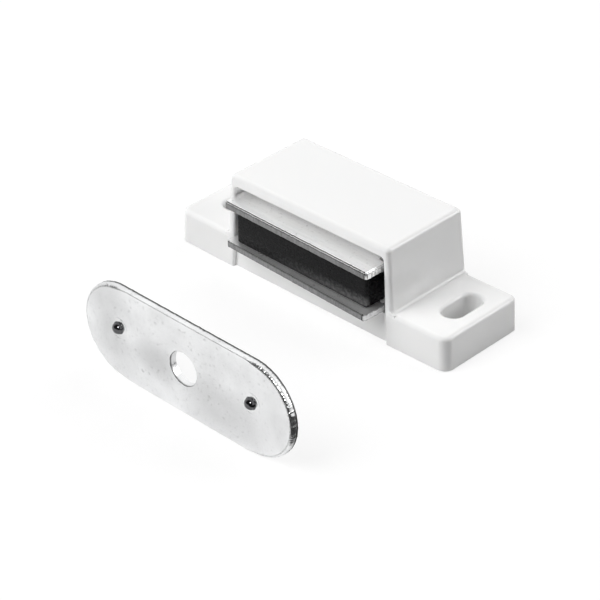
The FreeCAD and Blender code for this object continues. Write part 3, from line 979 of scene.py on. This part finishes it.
class CATCH_OT_pole_plates(bpy.types.Operator):
    """Make the two pole plates"""

    bl_idname = "catch.pole_plates"
    bl_label = "Pole plates"

    def execute(self, context):
        sizes, colours = context.scene.catch_pole_plate, context.scene.catch_finish
        for side, burr_up, roughness, metallic, seed in (
            ("upper", False, 0.06, 1.0, 3),
            ("lower", True, 0.34, 0.82, 11),
        ):
            finish = zinc_finish(
                "zinc_plated_" + side + "_plate", colours.plate_zinc, colours.sheared_steel,
                colours.painted_edge_shade, grain=(60.0, 900.0, 900.0), tearing=(5000.0, 5000.0, 900.0),
                roughness=roughness, metallic=metallic, clouds=0.03, streaks=0.1,
            )
            height, turn, shift = (
                getattr(sizes, side + "_" + value) for value in ("height", "turn", "shift")
            )
            points, faces, marks = pole_plate_mesh(sizes, burr_up, seed)
            points = turned(points, turn, (0.0, sizes.pivot), (shift, 0.0, height))
            mesh = make_mesh(side + "_plate", points, faces, marks)
            piece = new_object(side + "_plate_finish", mesh, finish)
            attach(piece, side + "_plate")
            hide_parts(side + "_pole_plate")
        return {"FINISHED"}


class CATCH_OT_magnet(bpy.types.Operator):
    """Make the magnet"""

    bl_idname = "catch.magnet"
    bl_label = "Magnet"

    def execute(self, context):
        sizes, colours = context.scene.catch_magnet, context.scene.catch_finish
        points, faces = magnet_mesh(sizes)
        pivot = (0.0, (sizes.front + sizes.rear) / 2)
        points = turned(points, sizes.turn, pivot, (0.0, 0.0, sizes.bottom))
        finish = ferrite_finish(colours.ferrite, colours.ferrite_painted_reflection, sizes.bottom)
        piece = new_object("ferrite_block", make_mesh("ferrite_block", points, faces), finish)
        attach(piece, "magnet")
        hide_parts("magnet")
        return {"FINISHED"}


# The striker plate's stains: to the right of its middle, above it, half width and half height, in
# millimetres. They reach STAIN_DEPTH to either side of its face.
STAINS = (
    (-12.9, -1.2, 3.6, 3.6),
    (5.4, -2.7, 7.6, 4.6),
    (-4.8, -1.2, 4.6, 3.4),
    (-13.5, 3.6, 5.0, 5.0),
)
STAIN_DEPTH = 3.0


class CATCH_OT_striker(bpy.types.Operator):
    """Make the striker plate"""

    bl_idname = "catch.striker"
    bl_label = "Striker plate"

    def execute(self, context):
        sizes, colours = context.scene.catch_striker, context.scene.catch_finish
        middle = (sizes.aside, -sizes.ahead, sizes.width / 2)
        stains = [
            ((middle[0] + x * MM, middle[1], middle[2] + z * MM), (wide * MM, STAIN_DEPTH * MM, high * MM))
            for x, z, wide, high in STAINS
        ]
        finish = zinc_finish(
            "zinc_plated_striker", colours.zinc, colours.torn_steel, colours.pip_steel_painted_dark,
            grain=(60.0, 900.0, 900.0), tearing=(5000.0, 900.0, 5000.0), roughness=0.22,
            metallic=0.94, clouds=0.12, streaks=0.02, stains=stains,
        )
        lying, faces, marks = striker_mesh(sizes)
        standing = np.stack((lying[:, 0], -lying[:, 2], lying[:, 1]), 1)
        points = turned(standing, sizes.turn, (0.0, 0.0), middle)
        piece = new_object("striker_finish", make_mesh("striker", points, faces, marks), finish)
        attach(piece, "striker")
        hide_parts("striker_plate")
        return {"FINISHED"}


class CATCH_PT_panel(bpy.types.Panel):
    """Lists the catch's pieces and their settings"""

    bl_idname = "CATCH_PT_panel"
    bl_label = "Magnetic catch"
    bl_space_type = "VIEW_3D"
    bl_region_type = "UI"
    bl_category = "Catch"

    def draw(self, context):
        layout = self.layout
        for operator in STEPS:
            layout.operator(operator.bl_idname)
        for key, _ in SETTINGS:
            box = layout.box()
            group = getattr(context.scene, key)
            for name in group.__annotations__:
                box.prop(group, name)


SETTINGS = (
    ("catch_stage", StageSettings),
    ("catch_pole_plate", PolePlateSizes),
    ("catch_magnet", MagnetSizes),
    ("catch_striker", StrikerSizes),
    ("catch_finish", FinishSettings),
)
STEPS = (
    CATCH_OT_stage,
    CATCH_OT_housing,
    CATCH_OT_pole_plates,
    CATCH_OT_magnet,
    CATCH_OT_striker,
)
CLASSES = (*(group for _, group in SETTINGS), *STEPS, CATCH_PT_panel)


def register():
    """Register the classes and hang the settings on the scene."""
    for item in CLASSES:
        bpy.utils.register_class(item)
    for key, group in SETTINGS:
        setattr(bpy.types.Scene, key, PointerProperty(type=group))


def unregister():
    """Take the settings and the classes away again."""
    for key, _ in SETTINGS:
        delattr(bpy.types.Scene, key)
    for item in reversed(CLASSES):
        bpy.utils.unregister_class(item)


def main():
    """Make every piece in order."""
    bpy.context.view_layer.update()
    register()
    bpy.ops.catch.stage()
    bpy.ops.catch.housing()
    bpy.ops.catch.pole_plates()
    bpy.ops.catch.magnet()
    bpy.ops.catch.striker()


if __name__ == "__main__":
    main()
